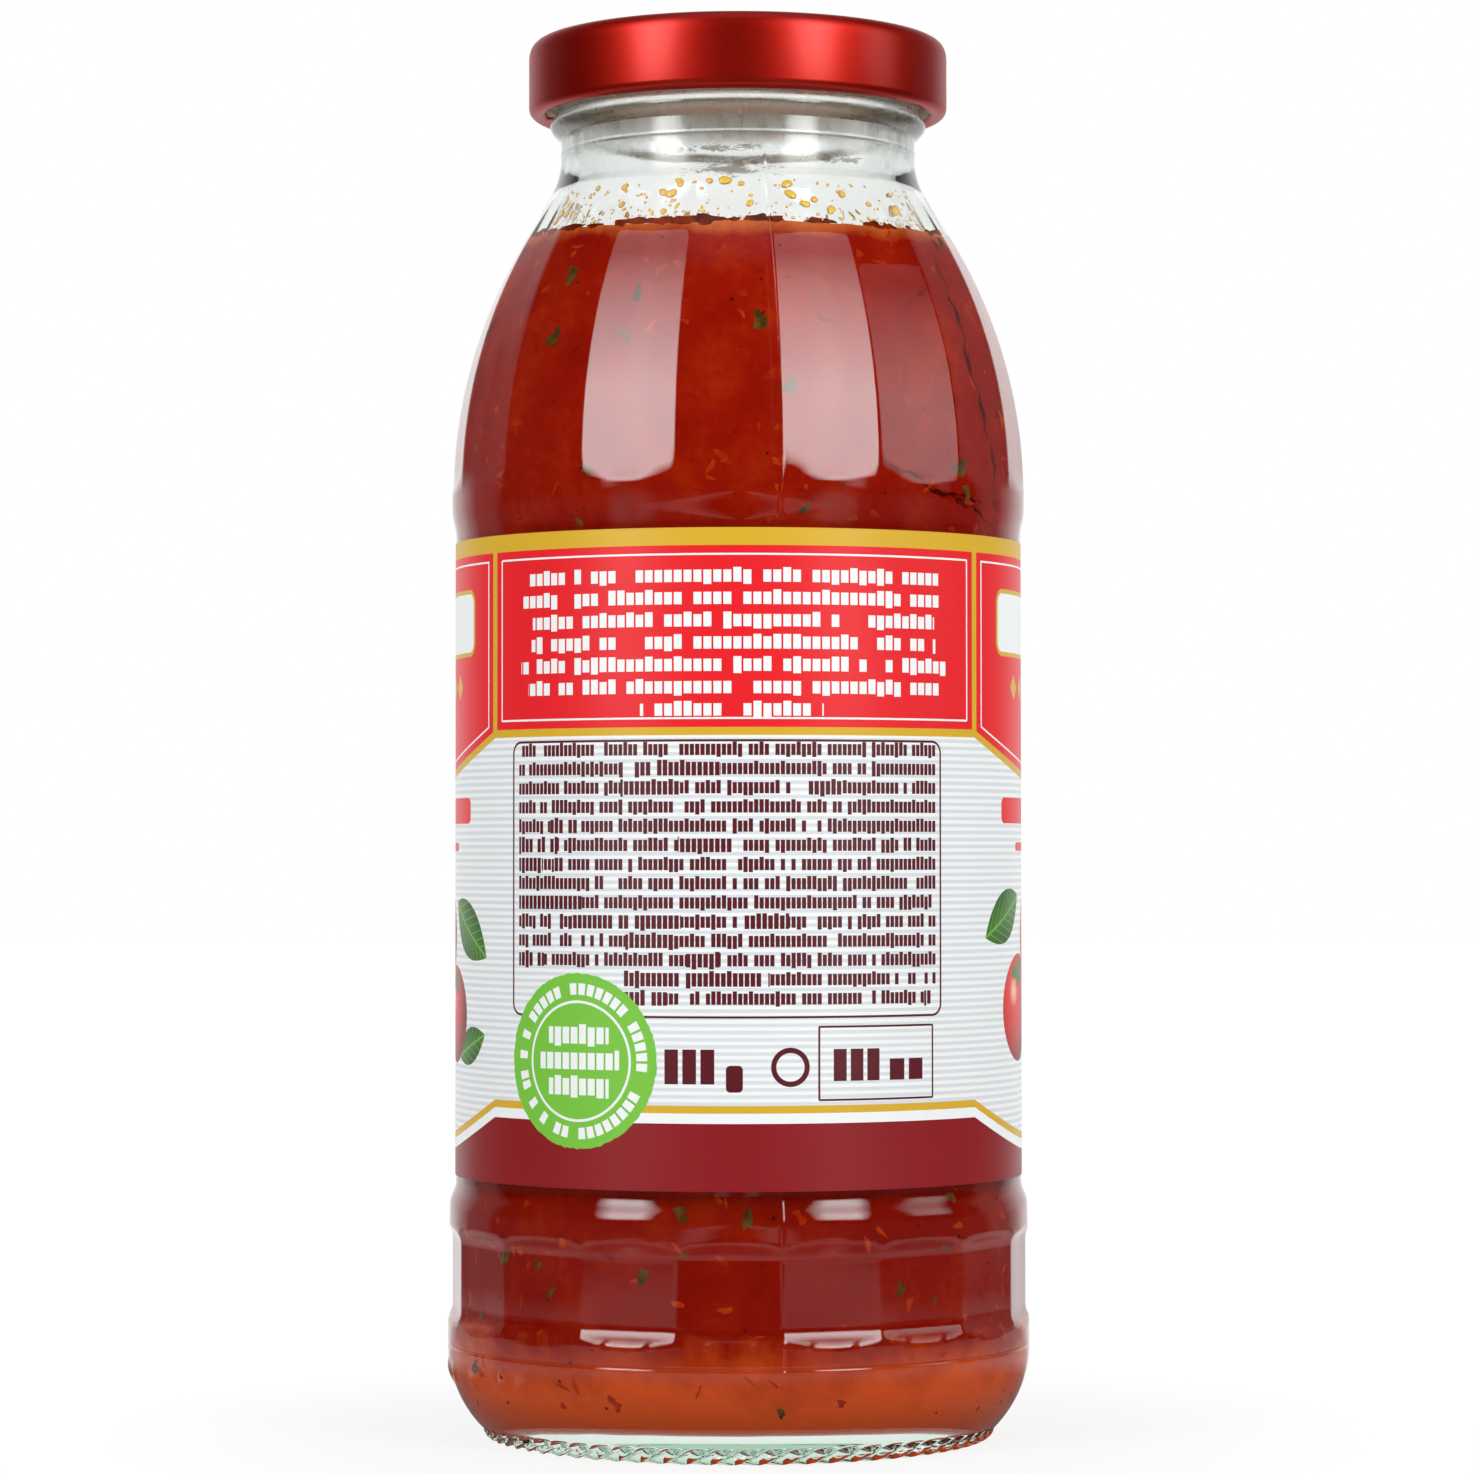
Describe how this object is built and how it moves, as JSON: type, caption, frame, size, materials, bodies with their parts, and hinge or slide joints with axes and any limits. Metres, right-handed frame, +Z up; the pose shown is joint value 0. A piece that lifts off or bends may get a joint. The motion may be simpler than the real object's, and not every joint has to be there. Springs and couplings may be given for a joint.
{
  "type": "jar of tomato sauce",
  "caption": "Faceted clear glass jar of tomato sauce with a red steel lug cap, a sealing ring and a wrap-round paper label; the sauce reaches its shoulder.",
  "frame": {"origin": "centre of the jar's base, on the plane it stands on", "axes": "+Z up along the jar's axis, front of the label towards -Y, +X to the right seen from the front"},
  "size_m": [0.0688, 0.0688, 0.1653],
  "materials": {
    "glass": "clear, faint green, fire polished",
    "sauce": "wet chopped tomato sauce with basil and onion",
    "paper": "coated label paper, satin, printed",
    "lacquer": "red metallic lacquer on tinplate, glossy",
    "compound": "cream sealing compound, matt"
  },
  "bodies": {
    "root": {"jar": "glass", "sauce": "sauce", "label": "paper", "cap": "lacquer", "seal": "compound"}
  },
  "joints": []
}
